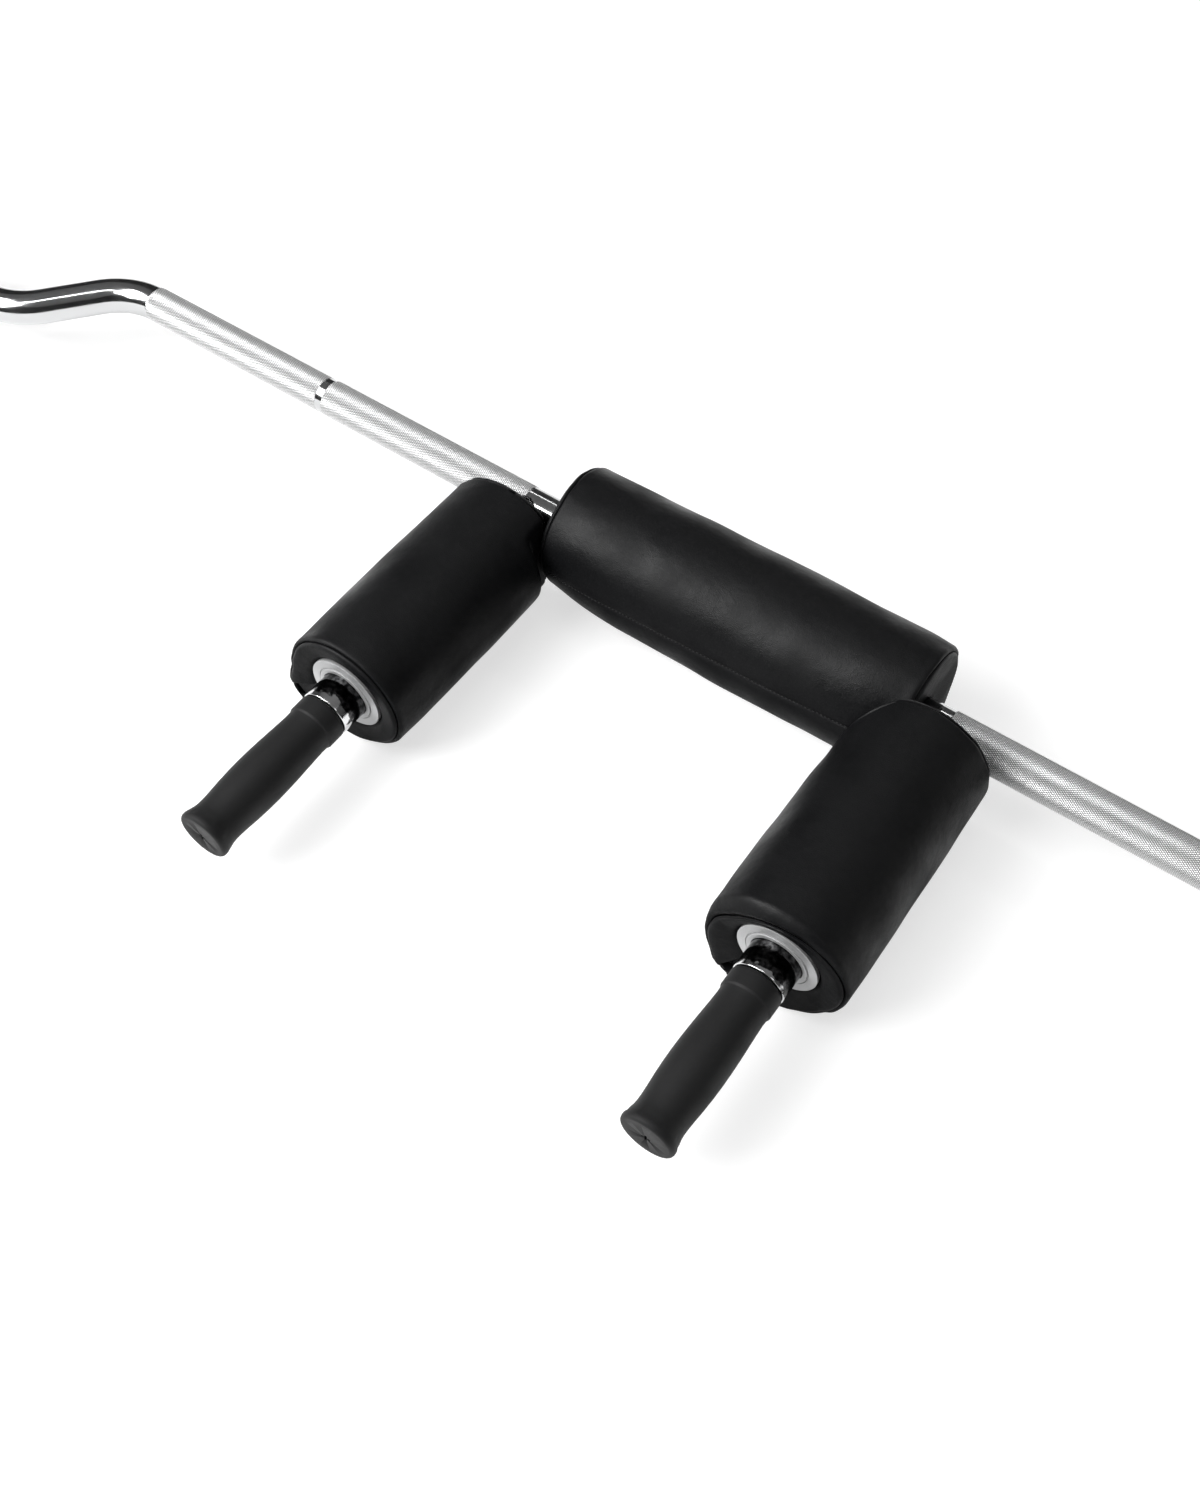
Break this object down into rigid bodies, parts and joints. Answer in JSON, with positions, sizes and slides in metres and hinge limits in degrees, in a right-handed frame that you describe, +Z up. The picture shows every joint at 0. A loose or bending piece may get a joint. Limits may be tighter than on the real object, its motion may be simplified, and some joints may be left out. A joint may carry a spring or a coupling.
{
  "type": "safety squat bar",
  "caption": "Barbell with forward-bent ends, spinning plate sleeves, a padded neck rest and padded forward handles with rubber grips.",
  "frame": {"origin": "on the floor under the middle of the shaft's axis, on the flat underside of the neck pad", "axes": "+X along the bar to the lifter's left hand end, +Y away from the handles, +Z up from the floor it lies on"},
  "size_m": [2.2558, 0.4192, 0.1024],
  "materials": {
    "knurled_chrome": "bright hard chrome over fine diamond knurl",
    "chrome": "polished chrome plate",
    "turned_steel": "fine turned face with concentric tool marks",
    "bronze": "oiled sintered bronze",
    "spring_steel": "phosphated spring steel",
    "leatherette": "semi-gloss black leatherette with fine grain",
    "foam": "closed-cell foam",
    "hook_tape": "woven hook and loop tape",
    "grip_rubber": "matt moulded rubber with fine stipple"
  },
  "bodies": {
    "bar": {"shaft": "knurled_chrome", "neck_pad_cover": "leatherette", "neck_pad_foam": "foam", "neck_pad_hook_strip": "hook_tape", "neck_pad_loop_strip": "hook_tape", "left_handle_tube": "chrome", "left_pad_stop": "turned_steel", "left_handle_spigot": "turned_steel", "left_grip": "grip_rubber", "left_shoulder_pad_cover": "leatherette", "left_shoulder_pad_foam": "foam", "left_shoulder_pad_hook_strip": "hook_tape", "left_shoulder_pad_loop_strip": "hook_tape", "left_thrust_washer": "turned_steel", "left_snap_ring": "spring_steel", "right_handle_tube": "chrome", "right_pad_stop": "turned_steel", "right_handle_spigot": "turned_steel", "right_grip": "grip_rubber", "right_shoulder_pad_cover": "leatherette", "right_shoulder_pad_foam": "foam", "right_shoulder_pad_hook_strip": "hook_tape", "right_shoulder_pad_loop_strip": "hook_tape", "right_thrust_washer": "turned_steel", "right_snap_ring": "spring_steel"},
    "left_sleeve": {"left_sleeve_tube": "chrome", "left_sleeve_collar": "chrome", "left_inner_bush": "bronze", "left_outer_bush": "bronze", "left_end_plug": "chrome"},
    "right_sleeve": {"right_sleeve_tube": "chrome", "right_sleeve_collar": "chrome", "right_inner_bush": "bronze", "right_outer_bush": "bronze", "right_end_plug": "chrome"}
  },
  "joints": [
    {"name": "left_sleeve_spin", "type": "hinge", "parent": "bar", "child": "left_sleeve", "pos_m": [-0.935, -0.08, 0.051], "axis": [1, 0, 0], "continuous": true},
    {"name": "right_sleeve_spin", "type": "hinge", "parent": "bar", "child": "right_sleeve", "pos_m": [0.935, -0.08, 0.051], "axis": [1, 0, 0], "continuous": true}
  ]
}
